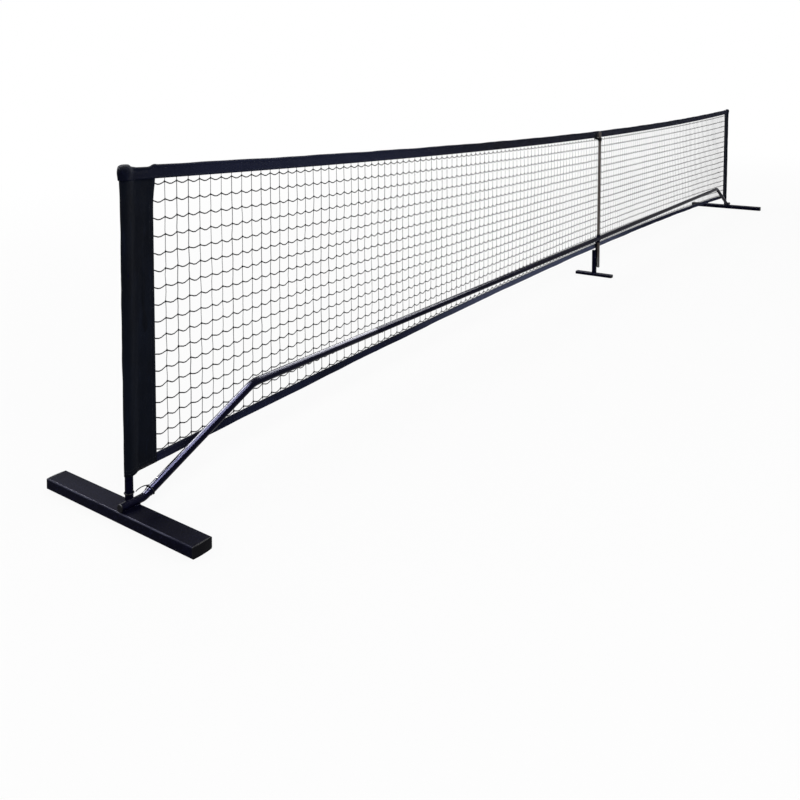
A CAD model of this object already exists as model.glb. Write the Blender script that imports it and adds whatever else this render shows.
"""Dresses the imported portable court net: its finishes, netting, tapes, sleeves, stitching and welds."""

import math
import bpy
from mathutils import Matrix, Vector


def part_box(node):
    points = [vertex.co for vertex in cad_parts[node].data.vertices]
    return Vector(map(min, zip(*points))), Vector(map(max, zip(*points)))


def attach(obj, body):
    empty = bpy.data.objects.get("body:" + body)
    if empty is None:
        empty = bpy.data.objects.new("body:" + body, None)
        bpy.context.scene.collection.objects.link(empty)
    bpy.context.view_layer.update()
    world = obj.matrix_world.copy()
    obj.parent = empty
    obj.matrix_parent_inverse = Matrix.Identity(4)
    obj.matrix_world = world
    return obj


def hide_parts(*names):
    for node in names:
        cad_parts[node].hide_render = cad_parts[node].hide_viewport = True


bl_info = {
    "name": "Portable court net",
    "version": (1, 0, 0),
    "blender": (4, 5, 0),
    "location": "View3D > Sidebar > Court net",
    "description": "Finishes and cloth pieces of a portable court net on a folding tube frame",
    "category": "Add Mesh",
}

import bmesh
import bpy
import numpy as np
from mathutils import Vector

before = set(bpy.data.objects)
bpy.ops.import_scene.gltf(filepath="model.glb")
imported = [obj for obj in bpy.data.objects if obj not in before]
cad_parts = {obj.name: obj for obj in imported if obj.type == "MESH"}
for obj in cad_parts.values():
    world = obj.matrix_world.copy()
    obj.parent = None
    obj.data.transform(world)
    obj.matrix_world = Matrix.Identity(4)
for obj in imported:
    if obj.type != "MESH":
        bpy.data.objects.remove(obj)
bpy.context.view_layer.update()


def box_of(node):
    """Lowest and highest corner of a CAD node as arrays."""
    low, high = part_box(node)
    return np.array(low), np.array(high)


POST_LOW, POST_HIGH = box_of("post_right")
POST_X = float(POST_LOW[0] + POST_HIGH[0]) / 2
POST_RADIUS = float(POST_HIGH[0] - POST_LOW[0]) / 2
TAPE_LOW, TAPE_HIGH = box_of("top_tape")
SLEEVE_LOW, _ = box_of("sleeve_right")
FOOT_LOW, FOOT_HIGH = box_of("foot_left")
FOOT_TOP = float(FOOT_HIGH[2])
TAPE_HEIGHT = 0.038
CROWN = 0.004  # how far the top tape rises over a post's cap
FABRIC = 0.0012  # thickness of all cloth


# ---- Sizes and colours a user would change ----


def length(name, description, default):
    return bpy.props.FloatProperty(
        name=name, description=description, default=default, min=0, unit="LENGTH", subtype="DISTANCE", precision=4)


def colour(name, description, default):
    return bpy.props.FloatVectorProperty(
        name=name, description=description, default=default, size=3, min=0, max=1, subtype="COLOR")


class CourtNetSizes(bpy.types.PropertyGroup):
    """Sizes of the net's cloth and twine."""

    end_height: length("End height", "Height of the top edge at the posts", float(TAPE_HIGH[2]) - CROWN)
    tape_height: length("Top tape height", "Height of the band along the top edge", TAPE_HEIGHT)
    middle_height: length("Middle height", "Height of the top edge in the middle", float(TAPE_LOW[2]) + TAPE_HEIGHT)
    hem_end: length("Hem height at the posts", "Height of the bottom edge at the posts", float(SLEEVE_LOW[2]))
    hem_middle: length("Hem height in the middle", "Height of the bottom edge in the middle", 0.164)
    hem_height: length("Bottom tape height", "Height of the band along the bottom edge", 0.025)
    sleeve_width: length("Sleeve width", "Width of the sleeve at each post", POST_X - float(SLEEVE_LOW[0]))
    columns: bpy.props.IntProperty(
        name="Columns", description="Twines that run from the bottom tape to the top tape", default=156, min=4)
    rows: bpy.props.IntProperty(name="Rows", description="Twines that run from sleeve to sleeve", default=17, min=3)
    row_twine: length("Row twine", "Thickness of a twine that runs from sleeve to sleeve", 0.0035)
    column_twine: length("Column twine", "Thickness of a twine that runs from tape to tape", 0.0024)
    sag: length("Twine sag", "How far a row twine hangs between two columns", 0.0068)
    cord: length("Edge cord", "Thickness of the cord inside each tape", 0.004)
    stitch: length("Stitch spacing", "Distance from one stitch to the next", 0.005)
    weld: length("Weld ripple", "Distance from one ripple of a weld to the next", 0.0017)


class CourtNetColours(bpy.types.PropertyGroup):
    """Colours of the frame, the cloth and the stage."""

    tubes: colour("Tubes", "Powder coat of the posts, rails and braces", (0.0018, 0.0019, 0.0075))
    feet: colour("Feet", "Powder coat of the feet", (0.0017, 0.0018, 0.0056))
    plastic: colour("Plastic", "Caps, plugs and hook", (0.0030, 0.0031, 0.0042))
    steel: colour("Spring steel", "Snap buttons and their springs", (0.20, 0.205, 0.22))
    rod: colour("Middle rod", "Painted middle rod", (0.0180, 0.0135, 0.0120))
    tip: colour("Rod tip", "Soft sleeve at the rod's lower end", (0.040, 0.038, 0.038))
    tape: colour("Tape", "Woven tape along the top edge", (0.0024, 0.0032, 0.0090))
    hem: colour("Bottom tape", "Woven tape along the bottom edge", (0.0062, 0.0074, 0.0190))
    faded: colour("Faded tape", "Colour of the top tape where it has faded", (0.0105, 0.0130, 0.0330))
    bleached: colour("Bleached tape", "Colour of the bottom tape where it is palest", (0.078, 0.090, 0.150))
    sleeve: colour("Sleeve", "Cloth of the sleeves at the posts", (0.0025, 0.0035, 0.0068))
    rows: colour("Row twine", "Twines that run from sleeve to sleeve", (0.0075, 0.0075, 0.0085))
    columns: colour("Column twine", "Twines that run from tape to tape", (0.190, 0.192, 0.198))
    pale: colour("Pale twine", "Column twines where their dye has faded", (0.46, 0.46, 0.47))
    thread: colour("Thread", "Sewing thread", (0.020, 0.022, 0.030))
    elastic: colour("Elastic", "Braided cord of the tethers and inside the tapes", (0.012, 0.012, 0.015))
    floor: colour("Floor", "Pale floor", (0.84, 0.84, 0.84))


def chosen(context):
    """The sizes and the colours that the panel shows."""
    return context.scene.court_net_sizes, context.scene.court_net_colours


# ---- Nodes ----


def maths(operation, reflected=False):
    """A method of Wire that adds a Math node, with the wire as its first value or, reflected, its last."""
    def method(self, *others):
        values = (*others, self) if reflected else (self, *others)
        return self.tree.add("ShaderNodeMath", {"operation": operation}, dict(enumerate(values)))
    return method


class Wire:
    """A socket whose arithmetic adds Math nodes."""

    def __init__(self, tree, socket):
        self.tree, self.socket = tree, socket

    __add__, __radd__ = maths("ADD"), maths("ADD", reflected=True)
    __sub__, __rsub__ = maths("SUBTRACT"), maths("SUBTRACT", reflected=True)
    __mul__, __rmul__ = maths("MULTIPLY"), maths("MULTIPLY", reflected=True)
    __truediv__ = maths("DIVIDE")
    __pow__ = maths("POWER")
    __abs__ = maths("ABSOLUTE")
    sine = maths("SINE")
    floor = maths("FLOOR")
    fraction = maths("FRACT")
    modulo = maths("FLOORED_MODULO")
    at_most = maths("MINIMUM")
    below = maths("LESS_THAN")

    def ramp(self, low, high):
        """0 at low, 1 at high, smooth between them."""
        return self.tree.add(
            "ShaderNodeMapRange", {"interpolation_type": "SMOOTHSTEP"},
            {"Value": self, "From Min": low, "From Max": high})

    def wave(self, length, shift=0.0):
        """A wave between 0 and 1 that repeats with each length, moved on by shift in radians."""
        return (self * (2 * math.pi / length) + shift).sine() * 0.5 + 0.5


class Tree:
    """Adds nodes to a node tree. Settings are set first, then the values or links of the sockets."""

    def __init__(self, tree):
        self.tree = tree

    def add(self, kind, settings=None, sockets=None, output=0):
        node = self.tree.nodes.new(kind)
        for name, value in (settings or {}).items():
            setattr(node, name, value)
        for key, value in (sockets or {}).items():
            if isinstance(value, Wire):
                self.tree.links.new(value.socket, node.inputs[key])
            else:
                node.inputs[key].default_value = value
        return Wire(self, node.outputs[output])

    def show(self, wire, kind="ShaderNodeOutputMaterial"):
        """Ends a shader tree in its output node."""
        self.tree.links.new(wire.socket, self.tree.nodes.new(kind).inputs[0])

    def also(self, wire, output):
        """Another output of the node that a wire comes from."""
        return Wire(self, wire.socket.node.outputs[output])

    def split(self, vector):
        x = self.add("ShaderNodeSeparateXYZ", None, {0: vector})
        return x, self.also(x, 1), self.also(x, 2)

    def join(self, x, y, z):
        return self.add("ShaderNodeCombineXYZ", None, {0: x, 1: y, 2: z})

    def mix(self, factor, a, b):
        """Colour a where factor is 0, colour b where it is 1."""
        return self.add("ShaderNodeMix", {"data_type": "RGBA"}, {0: factor, 6: a, 7: b}, 2)

    def noise(self, place, scale, detail=2.0, roughness=0.5):
        """Noise between 0 and 1, at one scale or, stretched, at one for each axis."""
        if isinstance(scale, tuple):
            place, scale = self.add("ShaderNodeMapping", None, {"Vector": place, "Scale": scale}), 1.0
        return self.add(
            "ShaderNodeTexNoise", {"noise_dimensions": "3D"},
            {"Vector": place, "Scale": scale, "Detail": detail, "Roughness": roughness})


def rgba(shade, gain=1.0):
    return (shade[0] * gain, shade[1] * gain, shade[2] * gain, 1.0)


# Powder coat and its wear
COAT_TINT = (0.56, 0.57, 1.0, 1.0)
SCUFFED = (0.055, 0.057, 0.075)
RUBBED = (0.050, 0.052, 0.078)
RUBBED_SIDE = (0.0042, 0.0016)  # distance from a foot's side at which its rubbed edge starts and is full
RUBBED_TOP = (0.0040, 0.0018)   # and from its top

# Distance from the net's middle over which pale column twines turn dark
PALE_ENDS = (0.9, 2.8)


def bare_material(name):
    made = bpy.data.materials.new(name)
    made.use_nodes = True
    made.node_tree.nodes.clear()
    return made, Tree(made.node_tree)


def material(name, fixed, output="Object"):
    """Starts a Principled material, with the values that are the same all over.

    Returns its tree, the point being painted, on the object or on its own map, and a function that links what
    varies over the surface and hands over the material.
    """
    made, tree = bare_material(name)
    shader = tree.add("ShaderNodeBsdfPrincipled", None, fixed)
    tree.show(shader)

    def finish(base, roughness, height, depth, strength):
        bump = tree.add("ShaderNodeBump", None, {"Height": height, "Distance": depth, "Strength": strength})
        for wire, socket in ((base, "Base Color"), (roughness, "Roughness"), (bump, "Normal")):
            tree.tree.links.new(wire.socket, shader.socket.node.inputs[socket])
        return made

    return tree, tree.add("ShaderNodeTexCoord", None, None, output), finish


def powder_coat(name, shade, gloss=0.16, shine=0.009, grain=0.15, peeled=0.16, rubbed=False):
    """Baked powder coat: orange peel, faint cloudiness, a few pale scuffs and, on the feet, rubbed top edges."""
    tree, place, finish = material(name, {"Specular IOR Level": shine, "Specular Tint": COAT_TINT})
    cloud = tree.noise(place, 9.0, 3.0)
    peel = tree.noise(place, 620.0, 2.0)
    scuff = tree.noise(place, (14.0, 160.0, 160.0), 6.0, 0.62).ramp(0.66, 0.78)
    speck = tree.noise(place, 330.0, 3.0, 0.7)
    base = tree.mix(cloud.ramp(0.3, 0.7), rgba(shade, 0.82), rgba(shade, 1.22))
    base = tree.mix(speck.ramp(0.54, 0.72) * grain, base, rgba(shade, 11.0))
    base = tree.mix(scuff * 0.30, base, rgba(SCUFFED))
    if rubbed:
        x, _, z = tree.split(place)
        middle, half = abs(float(FOOT_LOW[0] + FOOT_HIGH[0])) / 2, float(FOOT_HIGH[0] - FOOT_LOW[0]) / 2
        side = abs(abs(x) - middle).ramp(*(half - away for away in RUBBED_SIDE))
        edge = side * z.ramp(*(FOOT_TOP - away for away in RUBBED_TOP))
        streak = tree.noise(place, (30.0, 9.0, 30.0), 3.0).ramp(0.38, 0.66)
        base = tree.mix(edge * (0.25 + 0.75 * streak), base, rgba(RUBBED))
    return finish(base, gloss + 0.08 * cloud + 0.16 * scuff, peel, depth=0.0004, strength=peeled)


def moulded_plastic(name, shade):
    """Moulded plastic with a fine spark-eroded grain."""
    tree, place, finish = material(name, {"Specular IOR Level": 0.02})
    grain = tree.add("ShaderNodeTexVoronoi", {"feature": "F1"}, {"Vector": place, "Scale": 900.0})
    rubbed = tree.noise(place, 60.0, 3.0).ramp(0.45, 0.75)
    base = tree.mix(rubbed, rgba(shade), rgba(shade, 1.55))
    return finish(base, 0.52 - 0.14 * rubbed, grain, depth=0.0003, strength=0.35)


def spring_steel(name, shade):
    """Rolled steel with fine lines and oil-dark patches."""
    tree, place, finish = material(name, {"Metallic": 1.0})
    lines = tree.noise(place, (60.0, 1400.0, 1400.0), 3.0)
    patch = tree.noise(place, 90.0, 2.0).ramp(0.35, 0.7)
    base = tree.mix(patch, rgba(shade, 0.7), rgba(shade, 1.1))
    return finish(base, 0.24 + 0.16 * lines + 0.08 * patch, lines, depth=0.0002, strength=0.2)


def braid(name, shade, pitch):
    """Braided sheath: crossing bands in a diamond pattern."""
    tree, place, finish = material(
        name, {"Specular IOR Level": 0.02, "Sheen Weight": 0.02, "Sheen Roughness": 0.5})
    x, y, z = tree.split(place)
    turns = 2 * math.pi / pitch
    one = (x * turns + y * turns + z * turns).sine()
    two = (x * turns - y * turns - z * turns).sine()
    weave = abs(one * two)
    base = tree.mix(weave, rgba(shade, 0.55), rgba(shade, 1.5))
    return finish(base, 0.82 - 0.14 * weave, weave, depth=0.0005, strength=0.6)


def woven(name, shade, thread, faded=None):
    """Woven cloth on its own map, in metres: plain weave, creases, worn ridges and at most one faded stretch.

    faded is the middle of that stretch, half its length and its colour.
    """
    tree, place, finish = material(name, {
        "Specular IOR Level": 0.012, "Sheen Weight": 0.015, "Sheen Roughness": 0.45,
        "Sheen Tint": (0.62, 0.66, 0.85, 1.0)}, "UV")
    u, v, _ = tree.split(place)
    across, along = u * (1 / thread), v * (1 / thread)
    over = (across.floor() + along.floor()).modulo(2.0)
    warp = (across * math.pi).sine()
    weft = (along * math.pi).sine()
    weave = abs(warp) * over + abs(weft) * (1 - over)
    crease = tree.noise(place, (70.0, 9.0, 1.0), 3.0, 0.55)
    pale = tree.noise(place, (5.0, 3.0, 1.0), 4.0, 0.6)
    worn = rgba((shade[0], shade[1] * 1.06, shade[2] * 1.12), 1.5)
    ridge = rgba((shade[0] * 1.05, shade[1] * 1.15, shade[2] * 1.4), 2.3)
    base = tree.mix(pale.ramp(0.32, 0.74), rgba(shade, 0.72), worn)
    base = tree.mix(crease.ramp(0.56, 0.80) * 0.55, base, ridge)
    if faded:
        middle, reach, tone = faded
        stretch = (1 - abs(u - middle) / reach).ramp(0.0, 0.6)
        base = tree.mix(stretch * (0.55 + 0.45 * pale), base, rgba(tone))
    base = tree.mix(weave.ramp(0.0, 0.55), rgba(shade, 0.40), base)
    return finish(base, 0.90 - 0.10 * weave, weave * 0.35 + crease * 3.0, depth=0.0006, strength=0.55)


def twine(name, shade, pale=None):
    """Three-strand twine: a slanting twist and uneven dye, paler towards the net's middle if asked."""
    tree, place, finish = material(
        name, {"Specular IOR Level": 0.02, "Sheen Weight": 0.03, "Sheen Roughness": 0.5})
    x, y, z = tree.split(place)
    twist = (x + z).wave(0.0045, y * 900.0)
    dye = tree.noise(place, 16.0, 3.0)
    base = tree.mix(dye.ramp(0.25, 0.75), rgba(shade, 0.70), rgba(shade, 1.35))
    base = tree.mix(twist.ramp(0.0, 0.35), rgba(shade, 0.35), base)
    if pale:
        base = tree.mix((1 - abs(x).ramp(*PALE_ENDS)) * (0.85 + 0.15 * dye), base, rgba(pale))
    return finish(base, 0.93 - 0.12 * twist, twist, depth=0.0006, strength=0.7)


def painted_rod(name, shade):
    """Thin paint over drawn tube: long faint draw lines and small rub marks."""
    tree, place, finish = material(
        name, {"Specular IOR Level": 0.40, "Specular Tint": (1.0, 0.90, 0.86, 1.0)})
    lines = tree.noise(place, (900.0, 900.0, 4.0), 3.0)
    rub = tree.noise(place, (90.0, 90.0, 22.0), 5.0, 0.6).ramp(0.62, 0.76)
    base = tree.mix(lines.ramp(0.3, 0.7), rgba(shade, 0.8), rgba(shade, 1.25))
    base = tree.mix(rub * 0.35, base, rgba((0.07, 0.062, 0.058)))
    return finish(base, 0.30 + 0.12 * lines + 0.15 * rub, lines, depth=0.0002, strength=0.2)


def soft_grip(name, shade):
    """Soft grey sleeve on the rod's lower end, with fine rings and a dusty foot."""
    tree, place, finish = material(name, {"Specular IOR Level": 0.22})
    rings = tree.split(place)[2].wave(0.004)
    dust = tree.noise(place, 140.0, 4.0, 0.6).ramp(0.40, 0.75)
    base = tree.mix(dust, rgba(shade, 0.85), rgba(shade, 1.25))
    base = tree.mix(rings.ramp(0.0, 0.3), rgba(shade, 0.5), base)
    return finish(base, 0.72 + 0.12 * dust, rings, depth=0.0004, strength=0.4)


def sewing_thread(shade):
    """Sewing thread: a fine slanting twist and a dull sheen."""
    tree, place, finish = material(
        "thread", {"Specular IOR Level": 0.03, "Sheen Weight": 0.03, "Sheen Roughness": 0.4})
    x, y, z = tree.split(place)
    twist = (x + z).wave(0.0011, y * 3000.0)
    dye = tree.noise(place, 30.0, 2.0)
    base = tree.mix(dye.ramp(0.3, 0.7), rgba(shade, 0.75), rgba(shade, 1.3))
    base = tree.mix(twist.ramp(0.0, 0.4), rgba(shade, 0.5), base)
    return finish(base, 0.75 - 0.15 * twist, twist, depth=0.0002, strength=0.5)


def dress(nodes, made):
    """Gives CAD nodes a finish through their material slots."""
    for name in nodes:
        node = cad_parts[name]
        if not node.material_slots:
            node.data.materials.append(made)
        for held in node.material_slots:
            held.material = made


# ---- Shapes ----

SAME_POINT = 2e-6  # points closer than this are one


def stack(*columns):
    return np.stack(columns, axis=-1)


def hung(x, middle, end):
    """Height of an edge that hangs between the posts, from its heights half way and at the posts."""
    return middle + (end - middle) * np.minimum(1.0, np.abs(x) / POST_X) ** 2


def top_edge(sizes, x):
    return hung(x, sizes.middle_height, sizes.end_height)


def hem_edge(sizes, x):
    return hung(x, sizes.hem_middle, sizes.hem_end)


def smooth(t):
    """0 below 0, 1 above 1, smooth between them."""
    t = np.clip(t, 0.0, 1.0)
    return t * t * (3 - 2 * t)


def ridge(distance, width, height):
    """A raised line, highest where distance is 0."""
    return height * np.exp(-((distance / width) ** 2))


def ripple(u, v, waves, seed):
    """Soft folds: crossing waves with fixed phases, each given as its lengths along u and v and its height."""
    phases = np.random.default_rng(seed).uniform(0, 2 * math.pi, len(waves) * 2)
    total = 0.0
    for i, (along, across, height) in enumerate(waves):
        warp = 0.7 * np.sin(2 * math.pi * (u / (along * 2.7) - v / (across * 1.9)) + phases[2 * i + 1])
        total = total + height * np.sin(2 * math.pi * (u / along + v / across) + phases[2 * i] + warp)
    return total


def mesh_piece(name, points, faces, made, uvs=None, shade_smooth=True):
    """A plain mesh object at the origin, smooth-shaded, with its map where one is given for each point."""
    mesh = bpy.data.meshes.new(name)
    mesh.from_pydata([tuple(p) for p in points], [], faces)
    if uvs is not None:
        layer = mesh.uv_layers.new(name="UVMap")
        corners = np.empty(len(mesh.loops), dtype=np.int64)
        mesh.loops.foreach_get("vertex_index", corners)
        layer.data.foreach_set("uv", np.asarray(uvs, np.float32)[corners].ravel())
    mesh.polygons.foreach_set("use_smooth", [shade_smooth] * len(mesh.polygons))
    mesh.materials.append(made)
    mesh.update()
    piece = bpy.data.objects.new(name, mesh)
    bpy.context.scene.collection.objects.link(piece)
    return piece


def plain(piece):
    """Turns a piece with its modifiers into a plain mesh."""
    old = piece.data
    done = bpy.data.meshes.new_from_object(piece.evaluated_get(bpy.context.evaluated_depsgraph_get()))
    piece.modifiers.clear()
    piece.data = done
    bpy.data.meshes.remove(old)
    done.name = piece.name
    return piece


def cloth(name, grid, uvs, made, around=False):
    """Cloth from a grid of points on its outside. around says that a row of the grid closes on itself."""
    count, across = grid.shape[:2]
    faces = []
    for i in range(count - 1):
        for k in range(across if around else across - 1):
            m = (k + 1) % across
            faces.append((i * across + k, i * across + m, (i + 1) * across + m, (i + 1) * across + k))
    piece = mesh_piece(name, grid.reshape(-1, 3), faces, made, uvs.reshape(-1, 2))
    shape = bmesh.new()
    shape.from_mesh(piece.data)
    bmesh.ops.remove_doubles(shape, verts=shape.verts, dist=SAME_POINT)
    shape.to_mesh(piece.data)
    shape.free()
    solid = piece.modifiers.new("thickness", "SOLIDIFY")
    solid.thickness, solid.offset, solid.use_rim = FABRIC, -1.0, True
    return plain(piece)


def travelled(points):
    """Distance along a path at each of its points."""
    steps = np.linalg.norm(np.diff(points, axis=0), axis=1)
    return np.concatenate([[0.0], np.cumsum(steps)])


def tree_piece(name, build, inputs, carrier=None):
    """Runs a geometry tree on a carrier mesh and keeps the result as a plain mesh at the origin."""
    group = bpy.data.node_groups.new(name, "GeometryNodeTree")
    group.interface.new_socket("Geometry", in_out="OUTPUT", socket_type="NodeSocketGeometry")
    group.interface.new_socket("Geometry", in_out="INPUT", socket_type="NodeSocketGeometry")
    kinds = {float: "NodeSocketFloat", int: "NodeSocketInt", bpy.types.Material: "NodeSocketMaterial"}
    sockets = {}
    for label, value in inputs.items():
        sockets[label] = group.interface.new_socket(label, in_out="INPUT", socket_type=kinds[type(value)])
    tree = Tree(group)
    start = group.nodes.new("NodeGroupInput")
    given = {label: Wire(tree, start.outputs[label]) for label in inputs}
    end = group.nodes.new("NodeGroupOutput")
    shape = build(tree, Wire(tree, start.outputs[0]), given)
    whole = tree.add("GeometryNodeRealizeInstances", None, {0: shape})
    painted = tree.add("GeometryNodeSetMaterial", None, {"Geometry": whole, "Material": given["Material"]})
    group.links.new(painted.socket, end.inputs[0])
    mesh = carrier or bpy.data.meshes.new(name)
    piece = bpy.data.objects.new(name, mesh)
    bpy.context.scene.collection.objects.link(piece)
    modifier = piece.modifiers.new(name, "NODES")
    modifier.node_group = group
    for label, value in inputs.items():
        modifier[sockets[label].identifier] = value
    if not len(plain(piece).data.polygons):
        raise RuntimeError(f"{name} came out empty")
    return piece


def paths_mesh(paths):
    """A mesh of loose edges along each path, for a geometry tree to follow."""
    points, edges = [], []
    for path in paths:
        first = len(points)
        points.extend(tuple(p) for p in path)
        edges.extend((first + i, first + i + 1) for i in range(len(path) - 1))
    mesh = bpy.data.meshes.new("paths")
    mesh.from_pydata(points, edges, [])
    return mesh


# ---- Netting ----

ROW_INSET = 0.010  # from the edge of a tape to the row next to it
CROWDING = 0.067  # how much closer together the rows hang towards the bottom
FLAT_SAG = 0.62  # share of the sag in a curve that leaves the knots level
STEEP_SAG = 1.52  # and in one that leaves them at a slant
BILLOW, BILLOWS = 0.014, 2.2  # how far the netting wanders out of its plane, and how often in a metre
STRAY, STRAY_OUT, STRAYS = 0.0115, 0.003, 21.0  # how far a knot strays along the net and out of it, and how often
SLACK, SLACKS = 0.0085, 24.0  # and up or down
KNOT = 0.78  # radius of a knot over the thickness of its twine
KNOT_SHAPE, KNOT_TURN = (1.15, 0.95, 1.35), (0.4, 0.9, 0.4)  # how it is stretched, and turned at most
GAP_STEPS = 5  # straight pieces of a row twine in each gap
TUCK = 0.2  # share of a gap that the rows reach under each sleeve
COLUMN_POINTS = 33
COLUMN_REACH = 1.052  # length of a column over the height between the outer rows
TWINE_SIDES, CORD_SIDES = 4, 8


def net_place(tree, given, place):
    """Where a point of a flat grid hangs: x along the net, y from -0.5 at the bottom row to 0.5 at the top row."""
    x, y, _ = tree.split(place)
    share = (abs(x) / given["Post X"]).at_most(1.0) ** 2.0
    top, hem = given["Middle Height"], given["Hem Middle"]
    high = top + (given["End Height"] - top) * share - given["Tape Height"] - ROW_INSET
    low = hem + (given["Hem End"] - hem) * share + given["Hem Height"] + ROW_INSET
    down = 0.5 - y
    depth = down * (1 + CROWDING * (1 - down))
    part = (x / given["Pitch"] + 0.5).fraction()
    dip = (part * math.pi).sine()
    z = high - (high - low) * depth - given["Sag"] * (FLAT_SAG * dip * dip + STEEP_SAG * part * (1 - part))
    inside = (1 - abs(down * 2 - 1)).ramp(0.0, 0.35)
    blow = tree.noise(tree.join(x, given["Seed"], z), BILLOWS, 2.0)
    stray = tree.noise(tree.join(x, given["Seed"] + 7.0, z), STRAYS, 1.0)
    slack = tree.noise(tree.join(x, given["Seed"] + 19.0, z), SLACKS, 1.0)
    return tree.join(
        x + (stray - 0.5) * STRAY * inside,
        (blow - 0.5) * BILLOW * inside + (stray - 0.5) * STRAY_OUT * inside,
        z + (slack - 0.5) * SLACK * inside)


def hang(tree, shape, given):
    """Moves a flat grid, or curves from one, to where the netting hangs."""
    place = net_place(tree, given, tree.add("GeometryNodeInputPosition"))
    return tree.add("GeometryNodeSetPosition", None, {"Geometry": shape, "Position": place})


def round_strands(tree, curves, width, sides):
    profile = tree.add("GeometryNodeCurvePrimitiveCircle", {"mode": "RADIUS"}, {
        "Resolution": sides, "Radius": width * 0.5})
    tube = tree.add("GeometryNodeCurveToMesh", None, {"Curve": curves, "Profile Curve": profile, "Fill Caps": True})
    return tree.add("GeometryNodeSetShadeSmooth", None, {"Geometry": tube})


def net_grid(tree, size, count_x, count_y):
    """A flat grid one unit high, as net_place reads it."""
    return tree.add("GeometryNodeMeshGrid", None, {
        "Size X": size, "Size Y": 1.0, "Vertices X": count_x, "Vertices Y": count_y})


def strands(tree, grid, given, axis):
    """Keeps the grid's edges along one axis, those with no step across it, hangs them and gives them thickness."""
    ends = tree.add("GeometryNodeInputMeshEdgeVertices", None, None, "Position 1")
    step = tree.add("ShaderNodeVectorMath", {"operation": "SUBTRACT"}, {0: ends, 1: tree.also(ends, "Position 2")})
    kept = abs(tree.split(step)[1 - axis]).below(1e-6)
    curves = tree.add("GeometryNodeMeshToCurve", None, {"Mesh": grid, "Selection": kept})
    return round_strands(tree, hang(tree, curves, given), given["Twine"], TWINE_SIDES)


def row_twines(tree, _, given):
    ends = 1 + 2 * TUCK
    size = given["Pitch"] * (given["Columns"] + ends)
    grid = net_grid(tree, size, given["Columns"] * float(GAP_STEPS) + (ends * GAP_STEPS + 1), given["Rows"])
    rows = strands(tree, grid, given, 0)
    crossings = net_grid(tree, given["Pitch"] * (given["Columns"] - 1.0), given["Columns"], given["Rows"])
    knot = tree.add("GeometryNodeMeshIcoSphere", None, {"Radius": given["Twine"] * KNOT, "Subdivisions": 1})
    turn = tree.add("FunctionNodeRandomValue", {"data_type": "FLOAT_VECTOR"}, {
        "Min": [-angle for angle in KNOT_TURN], "Max": KNOT_TURN, "Seed": 11})
    knots = tree.add("GeometryNodeInstanceOnPoints", None, {
        "Points": hang(tree, crossings, given), "Instance": knot, "Rotation": turn, "Scale": KNOT_SHAPE})
    both = tree.add("GeometryNodeJoinGeometry", None, {0: rows})
    tree.tree.links.new(knots.socket, both.socket.node.inputs[0])
    return both


def column_twines(tree, _, given):
    grid = net_grid(tree, given["Pitch"] * (given["Columns"] - 1.0), given["Columns"], COLUMN_POINTS)
    longer = tree.add("GeometryNodeTransform", None, {"Geometry": grid, "Scale": (1.0, COLUMN_REACH, 1.0)})
    return strands(tree, longer, given, 1)


# ---- Tapes and sleeves ----

# Top tape, from its lower edge up: height and half width of the band, height and reach of the pocket over a post
TAPE_LEVELS = np.array([
    (-38.0, 2.55, -38.0, 0.87), (-35.5, 2.75, -35.5, 0.90), (-32.0, 2.50, -32.0, 0.91), (-26.0, 2.45, -26.0, 0.96),
    (-19.0, 2.45, -19.0, 1.02), (-13.0, 2.45, -13.0, 1.04), (-9.6, 2.30, -9.4, 1.02), (-8.0, 2.85, -6.2, 0.97),
    (-6.0, 3.45, -3.4, 0.90), (-4.0, 3.65, -1.0, 0.82), (-2.2, 3.25, 0.9, 0.71), (-1.1, 2.45, 2.3, 0.56),
    (-0.4, 1.45, 3.3, 0.40), (-0.1, 0.70, 3.8, 0.20), (0.0, 0.0, 4.0, 0.0)])
POCKET_OUT = POST_RADIUS + 0.0072  # how far the tape's pocket reaches past the middle of a post
POCKET_SIDE = POST_RADIUS + 0.0050  # and to each side of it
SLEEVE_OUT = POST_RADIUS + 0.0020  # half width of a sleeve round its post
POCKET_REACH = 0.036  # how far from a post the cloth lies flat again
TAPE_FLAT, SLEEVE_FLAT = 0.0037, 0.0025  # half widths there
CORD_LEVEL = 9  # level at which the top tape starts to turn over its cord
TAPE_SEAMS = (1.6, 5.9)  # levels of the top tape's two seams
HEM_SEAMS, HEM_SEAM_OUT = (0.0205, 0.0100), 0.00255  # heights of the bottom tape's seams and their half width
CROSS_SEAM, EDGE_SEAM = 0.635, 0.012  # a sleeve's seams: height over the floor, and over its lower edge
THREAD_LIFT, STITCH_POINTS = 0.0001, 900  # height of a stitch over its cloth, and points along a seam
CORD_INSET, CORD_POINTS = 0.030, 180  # from the middle of a post to a cord's end, and points along it
CORD_UNDER_TOP, CORD_OVER_HEM = 0.0016, 0.0017  # from the edge of each tape to its cord
TAPE_THREAD, SLEEVE_THREAD = 0.0011, 0.0009  # from one thread of the weave to the next

# Soft folds: length along, length across and height of each wave
TAPE_SWAY = ((0.74, 0.9, 0.0007), (0.29, 0.5, 0.0004), (0.125, 0.3, 0.00022))
TAPE_LIFT = ((0.42, 1.0, 0.0006), (0.17, 1.0, 0.00035))
SLEEVE_FOLDS = ((0.052, 1.6, 0.00055), (0.031, 0.62, 0.0004), (0.019, 0.21, 0.00022))
SLEEVE_SAG = ((0.09, 0.13, 0.0003), (0.5, 0.075, 0.00018))
HEM_SWAY = ((0.66, 0.8, 0.0009), (0.27, 0.4, 0.0004), (0.11, 0.3, 0.0002))
HEM_DROP = ((0.51, 1.0, 0.0007), (0.19, 1.0, 0.0003))

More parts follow.
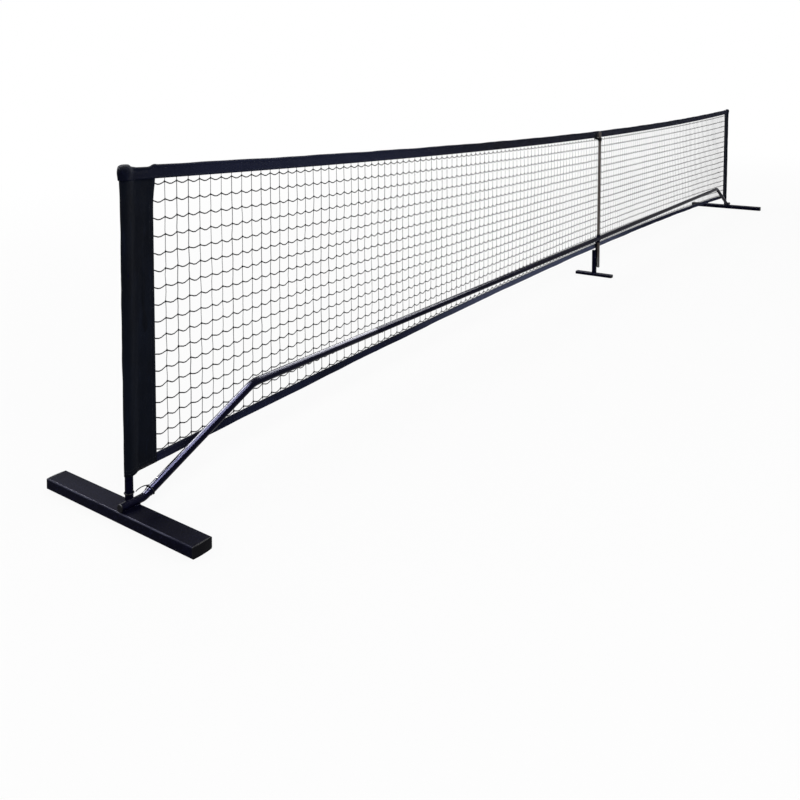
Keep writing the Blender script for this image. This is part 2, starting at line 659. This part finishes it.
# Bottom tape, from its open edge down to its fold: half width and height
HEM_PATH = np.array([
    (-2.50, 25.0), (-2.62, 22.0), (-2.45, 18.0), (-2.45, 13.0), (-2.35, 9.4), (-2.90, 7.6), (-3.45, 5.8), (-3.62, 4.0),
    (-3.30, 2.2), (-2.45, 0.95), (-1.30, 0.25), (0.0, 0.0)])


def band_sway(x, height):
    """Sideways lean of a tape's band, least at its sewn lower edge and none under the hook."""
    loose = smooth(height / 0.02 + 1.3) * (1 - ridge(x, 0.05, 1.0))
    return loose * ripple(x, height, TAPE_SWAY, 5)


def edge_dip(x):
    """The tape's edge sits a little lower beside each post, as far as its sleeve reaches."""
    away = POST_X - np.abs(x)
    dip = 0.0050 * smooth((away - 0.010) / 0.012) * (1 - smooth((away - 0.076) / 0.020))
    return dip - ridge(away - 0.098, 0.007, 0.0016)


def pocket_width(away, side, flat):
    """Half width of a pocket at a distance from the middle of its post towards the net."""
    near = np.clip(away / POCKET_REACH, 0.0, 1.0)
    return flat + (side - flat) * 0.5 * (1 + np.cos(math.pi * near))


def band_stations():
    """Places along the top tape, close together beside the posts."""
    near = np.concatenate([np.linspace(0.0, 0.11, 28), np.linspace(0.135, 0.30, 7)])
    middle = np.linspace(-POST_X + 0.33, POST_X - 0.33, 219)
    return np.concatenate([-POST_X + near, middle, (POST_X - near)[::-1]])


def tape_point(sizes, x, side, level):
    """A point on the band of the top tape. level counts through TAPE_LEVELS and may lie between two."""
    x = np.asarray(x, float)
    height, width, pocket_height, pocket = (
        np.interp(level, np.arange(len(TAPE_LEVELS)), TAPE_LEVELS[:, c]) for c in range(4))
    away = POST_X - np.abs(x)
    # 1 where the tape is a pocket round the post, where it covers the sleeve, on its lower half and on its upper half
    end = 1 - smooth((away - 0.010) / 0.034)
    over_sleeve = 1 - smooth((away - sizes.sleeve_width - 0.002) / 0.03)
    lower = float(smooth(-height / 14.0 - 0.4))
    top = float(smooth(height / 20.0 + 1.4))
    flat = width / 1000 + FABRIC * over_sleeve * lower
    y = side * ((1 - end) * flat + end * pocket_width(away, POCKET_SIDE, TAPE_FLAT) * pocket)
    y = y + band_sway(x, height / 1000) * (1 - end)
    lift = ripple(x, 0.0 * x, TAPE_LIFT, 8) * top * (1 - end)
    z = top_edge(sizes, x) + ((1 - end) * height + end * pocket_height) / 1000 - edge_dip(x) * top + lift
    return stack(x, y, z)


def top_tape_grid(sizes):
    """Points and map of the top tape: one row for each level, round both posts."""
    xs = band_stations()
    turns = np.linspace(math.pi / 2, -math.pi / 2, 15)[1:-1]
    rows, maps = [], []
    for level, (height, _, pocket_height, pocket) in enumerate(TAPE_LEVELS):
        front = tape_point(sizes, xs, -1, level)
        back = tape_point(sizes, xs[::-1], 1, level)
        ends = []
        for side in (1, -1):
            slack = 1 + 0.05 * np.sin(turns * 3 + 1.2 * side + level * 0.7)
            x = side * (POST_X + POCKET_OUT * pocket * np.cos(turns) * slack)
            y = -side * POCKET_SIDE * pocket * np.sin(turns)
            z = np.full_like(x, sizes.end_height + pocket_height / 1000)
            ends.append(stack(x, y, z))
        row = np.concatenate([front, ends[0], back, ends[1]])
        rows.append(row)
        flat = row.copy()
        flat[:, 2] = 0
        along = travelled(flat) if level < CORD_LEVEL else maps[-1][:, 0]
        maps.append(stack(along, np.full(len(row), -float(height) / 1000)))
    return np.array(rows), np.array(maps)


def sleeve_path(width):
    """Plan of a sleeve from the net round its post and back: distance from the post towards the net, and sideways."""
    # Its sewn edge, its flat part and the part that widens into the pocket
    away = np.concatenate([
        np.linspace(width, width - 0.012, 4), np.linspace(width - 0.018, 0.038, 7), np.linspace(0.034, 0.0, 14)])
    half = pocket_width(away, SLEEVE_OUT, SLEEVE_FLAT)
    turns = np.linspace(0, math.pi, 17)[1:-1]
    path = [(a, -h) for a, h in zip(away, half)]
    path += [(-(SLEEVE_OUT + 0.0002) * math.sin(t), -SLEEVE_OUT * math.cos(t)) for t in turns]
    path += [(a, h) for a, h in zip(away[::-1], half[::-1])]
    return np.array(path)


def sleeve_grid(sizes, side):
    """Points and map of one sleeve. Its cloth bags outwards in long folds and is drawn in along its sewn edge."""
    path = sleeve_path(sizes.sleeve_width)
    step = np.gradient(path, axis=0)
    out = stack(step[:, 1], -step[:, 0])
    out /= np.linalg.norm(out, axis=1)[:, None]
    along = travelled(path)
    away = path[:, 0]
    sewn = smooth((sizes.sleeve_width - away) / 0.016)
    rows, maps = [], []
    for t in np.linspace(0.0, 1.0, 96):
        x = side * (POST_X - away)
        low, high = hem_edge(sizes, x), top_edge(sizes, x) - sizes.tape_height + 0.009
        z = low + t * (high - low)
        folds = ripple(along, z, SLEEVE_FOLDS, 21 + side)
        # How far the cloth stands off its path: less round the post, and hardly at all under the tape
        bag = sewn * (0.0013 + folds + ripple(along, z, SLEEVE_SAG, 31 + side))
        bag = np.where(away < 0.02, np.abs(bag) * 0.8, bag) * (1 - 0.9 * smooth((t - 0.93) / 0.06))
        seam = ridge(z - CROSS_SEAM, 0.005, 0.0005) + ridge(z - low - EDGE_SEAM, 0.004, 0.0004)
        hem = ridge(away - sizes.sleeve_width + 0.004, 0.004, 0.0003)
        # Its upper corner leans towards the net
        flare = 0.008 * smooth((t - 0.86) / 0.14) ** 2 * smooth((away - 0.04) / 0.05)
        place = path + (bag + seam + hem)[:, None] * out
        rows.append(stack(side * (POST_X - place[:, 0] - flare), place[:, 1], z))
        maps.append(stack(along, z))
    grid, uvs = np.array(rows), np.array(maps)
    return (grid[:, ::-1], uvs[:, ::-1]) if side < 0 else (grid, uvs)


def hem_point(sizes, x, y, height):
    """A point on the bottom tape, whose folded edge hangs a little unevenly."""
    x = np.asarray(x, float)
    loose = smooth(1.2 - height / 0.022)
    sway = loose * ripple(x, height + 0 * x, HEM_SWAY, 13)
    drop = loose * ripple(x, 0 * x, HEM_DROP, 14)
    return stack(x, y + sway, hem_edge(sizes, x) + height + drop)


def bottom_tape_grid(sizes):
    reach = POST_X - sizes.sleeve_width - 0.0003
    xs = np.linspace(-reach, reach, 261)
    path = np.concatenate([HEM_PATH, HEM_PATH[-2::-1] * (-1, 1)]) / 1000
    along = travelled(path)
    grid = np.array([hem_point(sizes, np.full(len(path), x), path[:, 0], path[:, 1]) for x in xs])
    return grid, np.array([stack(np.full(len(path), x), along) for x in xs])


def beads(tree, carrier, given):
    """Small rounded shapes in a row along each path, such as stitches or the ripples of a weld."""
    curves = tree.add("GeometryNodeMeshToCurve", None, {"Mesh": carrier})
    spaced = tree.add("GeometryNodeResampleCurve", {"mode": "LENGTH"}, {"Curve": curves, "Length": given["Spacing"]})
    ahead = tree.add("GeometryNodeInputTangent")
    turn = tree.add("FunctionNodeAlignRotationToVector", {"axis": "X"}, {"Vector": ahead})
    bead = tree.add("GeometryNodeMeshIcoSphere", None, {"Radius": 0.5, "Subdivisions": 1})
    size = tree.join(given["Spacing"] * given["Cover"], given["Width"], given["Width"] * given["Flatness"])
    made = tree.add("GeometryNodeInstanceOnPoints", None, {
        "Points": spaced, "Instance": bead, "Rotation": turn, "Scale": size})
    return tree.add("GeometryNodeSetShadeSmooth", None, {"Geometry": made})


def round_cord(tree, carrier, given):
    curves = tree.add("GeometryNodeMeshToCurve", None, {"Mesh": carrier})
    return round_strands(tree, curves, given["Thickness"], CORD_SIDES)


# ---- Welds ----

WELD_LIFT = 0.0004  # from a face up to the middle of the bead on it
WELD_OUT = 0.0006  # from a wall out to the middle of the bead beside it
BRACKET_TOE, BRACKET_RISE = 0.0066, 0.0012  # from a bracket's middle to the beads beside it, and up to them
BRACKET_END = 0.0105  # where they end, from the middle of the post


def stub_and_bracket_welds():
    """Round each stub and along both sides of each bracket, on top of the end feet."""
    turns = np.linspace(0, 2 * math.pi, 40)
    radius = POST_RADIUS + WELD_OUT
    paths = []
    for side, bracket in ((-1, "base_bracket_left"), (1, "base_bracket_right")):
        paths.append([
            (side * POST_X + radius * math.cos(t), radius * math.sin(t), FOOT_TOP + WELD_LIFT) for t in turns])
        low, high = box_of(bracket)
        outer, inner = float(low[0] if side < 0 else high[0]), side * (POST_X - BRACKET_END)
        y, z = float(low[1] + high[1]) / 2, FOOT_TOP + BRACKET_RISE
        for off in (-BRACKET_TOE, BRACKET_TOE):
            paths.append([(outer + (inner - outer) * t, y + off, z) for t in np.linspace(0.05, 1, 12)])
    return paths


def upright_welds():
    """Round the lower end of the upright, and up both edges of the strap behind it."""
    (x0, y0, bottom), (x1, y1, top) = box_of("centre_upright")
    strap_low, strap_high = box_of("centre_strap")
    z, back = bottom + WELD_LIFT, strap_high[1] + WELD_OUT
    ring = [(x0, y0, z), (x1, y0, z), (x1, y1, z), (x0, y1, z), (x0, y0, z)]
    return [ring] + [
        [(x, back, strap_low[2] + 0.002), (x, back, top - 0.001)] for x in (x0 - WELD_OUT, x1 + WELD_OUT)]


def rod_sleeve_welds():
    """Above and below the coupler, along the saddle where the rod's sleeve goes through it."""
    low, high = box_of("rail_coupler")
    middle, coupler = (low + high) / 2, float(high[2] - low[2]) / 2
    sleeve_low, sleeve_high = box_of("rod_sleeve")
    radius = float(sleeve_high[0] - sleeve_low[0]) / 2 + WELD_LIFT
    paths = []
    for up in (-1, 1):
        paths.append([
            (middle[0] + radius * math.cos(t), middle[1] + radius * math.sin(t),
             middle[2] + up * (math.sqrt(coupler ** 2 - (radius * math.sin(t)) ** 2) + 0.0002))
            for t in np.linspace(0, 2 * math.pi, 49)])
    return paths


# ---- Operators ----

FLOOR_REACH = 150
DAYLIGHT = 0.58  # strength of the soft light from all round


class StageOperator(bpy.types.Operator):
    """Adds the floor, the soft lights, the pale background and the camera"""

    bl_idname = "court_net.stage"
    bl_label = "Stage"

    def execute(self, context):
        scene = context.scene
        corners = [(x * FLOOR_REACH, y * FLOOR_REACH, 0) for x, y in ((-1, -1), (1, -1), (1, 1), (-1, 1))]
        made = self.floor_finish(scene.court_net_colours.floor)
        floor = mesh_piece("floor", corners, [(0, 1, 2, 3)], made, shade_smooth=False)
        self.world(scene)
        self.lamp("key", (-7.5, -5.5, 7.0), (-0.6, 0.0, 0.4), (6.0, 3.5), 420)
        self.lamp("fill", (5.5, -7.5, 4.5), (0.8, 0.0, 0.4), (6.0, 3.0), 160)
        self.lamp("back", (0.5, 7.0, 6.0), (0.0, 0.0, 0.4), (7.0, 2.5), 160)
        self.lamp("brace_glint", (-2.95, 1.1, 4.95), (-3.1, 0.15, 0.15), (1.8, 9.6), 9600, only_gloss=True)
        self.lamp("rail_glint", (3.6, 0.6, 5.0), (-2.4, 0.0, 0.2), (7.0, 2.6), 4800, only_gloss=True)
        self.lamp("foot_glint", (-6.4, 4.7, 3.9), (-3.4, -0.1, 0.0), (2.5, 2.5), 900, only_gloss=True)
        self.camera(scene)
        scene.view_settings.view_transform = "Standard"
        return {"FINISHED"}

    def background(self, tree):
        """1 for a ray that sees the white background: from the camera, or reflected or let through by a piece."""
        camera = tree.add("ShaderNodeLightPath", None, None, "Is Camera Ray")
        return (camera + tree.also(camera, "Is Glossy Ray") + tree.also(camera, "Is Transmission Ray")).at_most(1.0)

    def floor_finish(self, shade):
        """A floor that turns white far away and keeps the object's shadow close by."""
        made, tree = bare_material("pale_floor")
        place = tree.add("ShaderNodeTexCoord", None, None, "Object")
        paint = tree.mix(tree.noise(place, 3.0, 4.0), rgba(shade, 0.99), rgba(shade, 1.01))
        matt = tree.add("ShaderNodeBsdfPrincipled", None, {
            "Base Color": paint, "Roughness": 1.0, "Specular IOR Level": 0.0})
        glow = tree.add("ShaderNodeEmission", None, {"Color": (1, 1, 1, 1), "Strength": 1.0})
        x, y, _ = tree.split(place)
        away = ((x * 0.62) ** 2.0 + y * y) ** 0.5
        white = self.background(tree) * (0.88 + 0.12 * away.ramp(1.5, 7.0))
        tree.show(tree.add("ShaderNodeMixShader", None, {0: white, 1: matt, 2: glow}))
        return made

    def world(self, scene):
        scene.world = bpy.data.worlds.new("studio")
        scene.world.use_nodes = True
        scene.world.node_tree.nodes.clear()
        tree = Tree(scene.world.node_tree)
        strength = self.background(tree) * (1 - DAYLIGHT) + DAYLIGHT
        sky = tree.add("ShaderNodeBackground", None, {"Color": (1, 1, 1, 1), "Strength": strength})
        tree.show(sky, "ShaderNodeOutputWorld")

    def lamp(self, name, place, target, size, watts, only_gloss=False):
        data = bpy.data.lights.new(name, "AREA")
        data.shape, data.size, data.size_y, data.energy = "RECTANGLE", size[0], size[1], watts
        lamp = bpy.data.objects.new(name, data)
        lamp.location = place
        lamp.visible_diffuse = not only_gloss
        lamp.rotation_mode = "QUATERNION"
        lamp.rotation_quaternion = (Vector(target) - Vector(place)).to_track_quat("-Z", "Y")
        bpy.context.scene.collection.objects.link(lamp)

    def camera(self, scene):
        data = bpy.data.cameras.new("camera")
        data.sensor_width, data.lens = 36.0, 36.77
        data.shift_x, data.shift_y = 0.025, -0.3365
        data.clip_start, data.clip_end = 0.05, 200.0
        camera = bpy.data.objects.new("camera", data)
        turn, down = math.radians(35.29), math.radians(3.0)
        ahead = Vector((math.cos(turn) * math.cos(down), math.sin(turn) * math.cos(down), -math.sin(down)))
        camera.location = (-4.681, -1.747, 1.118)
        camera.rotation_mode = "QUATERNION"
        camera.rotation_quaternion = ahead.to_track_quat("-Z", "Y")
        scene.collection.objects.link(camera)
        scene.camera = camera


class FeetOperator(bpy.types.Operator):
    """Powder-coats the end feet and the small middle foot"""

    bl_idname = "court_net.feet"
    bl_label = "Feet"

    def execute(self, context):
        _, colours = chosen(context)
        dress(["foot_left", "foot_right", "centre_foot"],
              powder_coat("foot_coat", colours.feet, 0.30, 0.006, 0.6, rubbed=True))
        return {"FINISHED"}


class TubesOperator(bpy.types.Operator):
    """Powder-coats the posts, brackets, braces, rails and the middle support"""

    bl_idname = "court_net.tubes"
    bl_label = "Tubes"

    def execute(self, context):
        _, colours = chosen(context)
        names = [f"{tube}_{end}" for end in ("left", "right") for tube in (
            "post_stub", "rail_outer", "rail_inner", "post")]
        names += ["brace_right", "base_bracket_right", "rail_coupler", "rod_sleeve", "centre_strap", "centre_upright"]
        dress(names, powder_coat("frame_coat", colours.tubes))
        dress(["brace_left", "base_bracket_left"],
              powder_coat("polished_coat", colours.tubes, 0.17, 0.030, peeled=0.02))
        return {"FINISHED"}


class PlasticsOperator(bpy.types.Operator):
    """Finishes the moulded caps, plugs and the hook"""

    bl_idname = "court_net.plastics"
    bl_label = "Caps and plugs"

    def execute(self, context):
        _, colours = chosen(context)
        dress(["foot_caps_left", "foot_caps_right", "bracket_plugs", "upright_cap", "centre_foot_caps",
               "post_cap_left", "post_cap_right", "rod_hook"], moulded_plastic("plastic", colours.plastic))
        dress(["rod_cap"], moulded_plastic("grey_plastic", [3.4 * c for c in colours.plastic]))
        return {"FINISHED"}


class ButtonsOperator(bpy.types.Operator):
    """Finishes the snap buttons and their springs"""

    bl_idname = "court_net.buttons"
    bl_label = "Snap buttons"

    def execute(self, context):
        names = [f"button_{place}_{end}" for place in ("base", "brace", "rail", "centre") for end in ("left", "right")]
        dress(names + ["snap_springs"], spring_steel("spring_steel", context.scene.court_net_colours.steel))
        return {"FINISHED"}


class TethersOperator(bpy.types.Operator):
    """Gives the elastic tethers their braided sheath"""

    bl_idname = "court_net.tethers"
    bl_label = "Tethers"

    def execute(self, context):
        dress(["tether_left", "tether_right"], braid("elastic", context.scene.court_net_colours.elastic, 0.0016))
        return {"FINISHED"}


class RodOperator(bpy.types.Operator):
    """Paints the middle rod and its soft grey tip"""

    bl_idname = "court_net.rod"
    bl_label = "Middle rod"

    def execute(self, context):
        _, colours = chosen(context)
        dress(["centre_rod"], painted_rod("rod_coat", colours.rod))
        dress(["rod_tip"], soft_grip("rod_tip", colours.tip))
        return {"FINISHED"}


class NettingOperator(bpy.types.Operator):
    """Hangs the knotted twines between the tapes and sleeves"""

    bl_idname = "court_net.netting"
    bl_label = "Netting"

    def execute(self, context):
        sizes, colours = chosen(context)
        gap = 2 * (POST_X - sizes.sleeve_width) / (sizes.columns + 1)
        shared = {"Post X": POST_X, "Pitch": gap, "Seed": 3.0}
        for label in ("Middle Height", "End Height", "Tape Height", "Hem Middle", "Hem End", "Hem Height", "Columns",
                      "Rows"):
            shared[label] = getattr(sizes, label.lower().replace(" ", "_"))
        for name, build, thick, sag, shade, pale in (
                ("net_rows", row_twines, sizes.row_twine, sizes.sag, colours.rows, None),
                ("net_columns", column_twines, sizes.column_twine, 0.0, colours.columns, colours.pale)):
            made = twine(name, shade, pale)
            piece = tree_piece(name, build, {**shared, "Twine": thick, "Sag": sag, "Material": made})
            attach(piece, "net")
            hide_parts("net_mesh")
        return {"FINISHED"}


class CordsOperator(bpy.types.Operator):
    """Runs a braided cord through the top tape and one through the bottom tape"""

    bl_idname = "court_net.cords"
    bl_label = "Edge cords"

    def execute(self, context):
        sizes, colours = chosen(context)
        xs = np.linspace(-POST_X + CORD_INSET, POST_X - CORD_INSET, CORD_POINTS)
        made = braid("cord", colours.elastic, 0.0022)
        heights = (
            ("top", top_edge(sizes, xs) - CORD_UNDER_TOP - sizes.cord / 2 - edge_dip(xs)),
            ("bottom", hem_edge(sizes, xs) + CORD_OVER_HEM + sizes.cord / 2))
        for edge, z in heights:
            path = paths_mesh([stack(xs, 0 * xs, z)])
            piece = tree_piece(f"edge_cord_{edge}", round_cord, {"Thickness": sizes.cord, "Material": made}, path)
            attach(piece, "net")
            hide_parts(f"{edge}_cord")
        return {"FINISHED"}


class TopTapeOperator(bpy.types.Operator):
    """Folds the top tape over its cord and over both posts"""

    bl_idname = "court_net.top_tape"
    bl_label = "Top tape"

    def execute(self, context):
        sizes, colours = chosen(context)
        grid, uvs = top_tape_grid(sizes)
        made = woven("tape_fabric", colours.tape, TAPE_THREAD, faded=(0.85, 1.0, colours.faded))
        piece = cloth("net_top_tape", grid, uvs, made, around=True)
        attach(piece, "net")
        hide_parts("top_tape")
        return {"FINISHED"}


class BottomTapeOperator(bpy.types.Operator):
    """Folds the bottom tape over its cord"""

    bl_idname = "court_net.bottom_tape"
    bl_label = "Bottom tape"

    def execute(self, context):
        sizes, colours = chosen(context)
        grid, uvs = bottom_tape_grid(sizes)
        made = woven("hem_fabric", colours.hem, TAPE_THREAD, faded=(-0.6, 1.6, colours.bleached))
        piece = cloth("net_bottom_tape", grid, uvs, made)
        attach(piece, "net")
        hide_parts("bottom_tape")
        return {"FINISHED"}


class SleevesOperator(bpy.types.Operator):
    """Sews the sleeves that slip over the posts"""

    bl_idname = "court_net.sleeves"
    bl_label = "Sleeves"

    def execute(self, context):
        sizes, colours = chosen(context)
        made = woven("sleeve_fabric", colours.sleeve, SLEEVE_THREAD)
        for side, end in ((-1, "left"), (1, "right")):
            grid, uvs = sleeve_grid(sizes, side)
            piece = cloth(f"net_sleeve_{end}", grid, uvs, made)
            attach(piece, "net")
            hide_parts(f"sleeve_{end}")
        return {"FINISHED"}


class StitchingOperator(bpy.types.Operator):
    """Sews the rows of stitches along the tapes and the sleeves"""

    bl_idname = "court_net.stitching"
    bl_label = "Stitching"

    def execute(self, context):
        sizes, colours = chosen(context)
        made = sewing_thread(colours.thread)
        far = np.linspace(-POST_X + 0.05, POST_X - 0.05, STITCH_POINTS)
        top = [tape_point(sizes, far, side, level) + (0, side * THREAD_LIFT, 0)
               for side in (-1, 1) for level in TAPE_SEAMS]
        reach = POST_X - sizes.sleeve_width - 0.004
        low = np.linspace(-reach, reach, STITCH_POINTS)
        bottom = [hem_point(sizes, low, side * HEM_SEAM_OUT, height) for side in (-1, 1) for height in HEM_SEAMS]
        ends = []
        for side in (-1, 1):
            grid, _ = sleeve_grid(sizes, side)
            for column in (1, 3, -4, -2):
                line = grid[2:-8, column].copy()
                line[:, 1] += np.sign(line[:, 1]) * THREAD_LIFT
                ends.append(line)
            ends += [grid[row] * (1, 1.02, 1) for row in (1, 2)]
        for name, paths in (("top", top), ("bottom", bottom), ("sleeve", ends)):
            inputs = {"Spacing": sizes.stitch, "Cover": 0.72, "Width": 0.0008, "Flatness": 0.8, "Material": made}
            piece = tree_piece(f"stitches_{name}", beads, inputs, paths_mesh(paths))
            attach(piece, "net")
        return {"FINISHED"}


class WeldsOperator(bpy.types.Operator):
    """Lays the rippled welds where the frame's tubes meet"""

    bl_idname = "court_net.welds"
    bl_label = "Welds"

    def execute(self, context):
        sizes, colours = chosen(context)
        made = powder_coat("weld_coat", colours.tubes, 0.34, 0.06)
        inputs = {"Spacing": sizes.weld, "Cover": 1.9, "Width": 0.0040, "Flatness": 0.85, "Material": made}
        paths = stub_and_bracket_welds() + upright_welds() + rod_sleeve_welds()
        piece = tree_piece("frame_welds", beads, inputs, paths_mesh(paths))
        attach(piece, "frame")
        return {"FINISHED"}


class CourtNetPanel(bpy.types.Panel):
    """Lists the pieces of the court net"""

    bl_idname = "VIEW3D_PT_court_net"
    bl_label = "Court net"
    bl_space_type = "VIEW_3D"
    bl_region_type = "UI"
    bl_category = "Court net"

    def draw(self, context):
        layout = self.layout
        for operator in OPERATORS:
            layout.operator(operator.bl_idname)
        for group in chosen(context):
            column = layout.column()
            for name in group.bl_rna.properties.keys():
                if name not in ("rna_type", "name"):
                    column.prop(group, name)


OPERATORS = (
    StageOperator, FeetOperator, TubesOperator, PlasticsOperator, ButtonsOperator, TethersOperator, RodOperator,
    NettingOperator, CordsOperator, TopTapeOperator, BottomTapeOperator, SleevesOperator, StitchingOperator,
    WeldsOperator,
)
CLASSES = (CourtNetSizes, CourtNetColours, *OPERATORS, CourtNetPanel)


def register():
    for cls in CLASSES:
        bpy.utils.register_class(cls)
    bpy.types.Scene.court_net_sizes = bpy.props.PointerProperty(type=CourtNetSizes)
    bpy.types.Scene.court_net_colours = bpy.props.PointerProperty(type=CourtNetColours)


def unregister():
    del bpy.types.Scene.court_net_colours
    del bpy.types.Scene.court_net_sizes
    for cls in reversed(CLASSES):
        bpy.utils.unregister_class(cls)


def main():
    register()
    for operator in OPERATORS:
        group, name = operator.bl_idname.split(".")
        getattr(getattr(bpy.ops, group), name)()


if __name__ == "__main__":
    main()
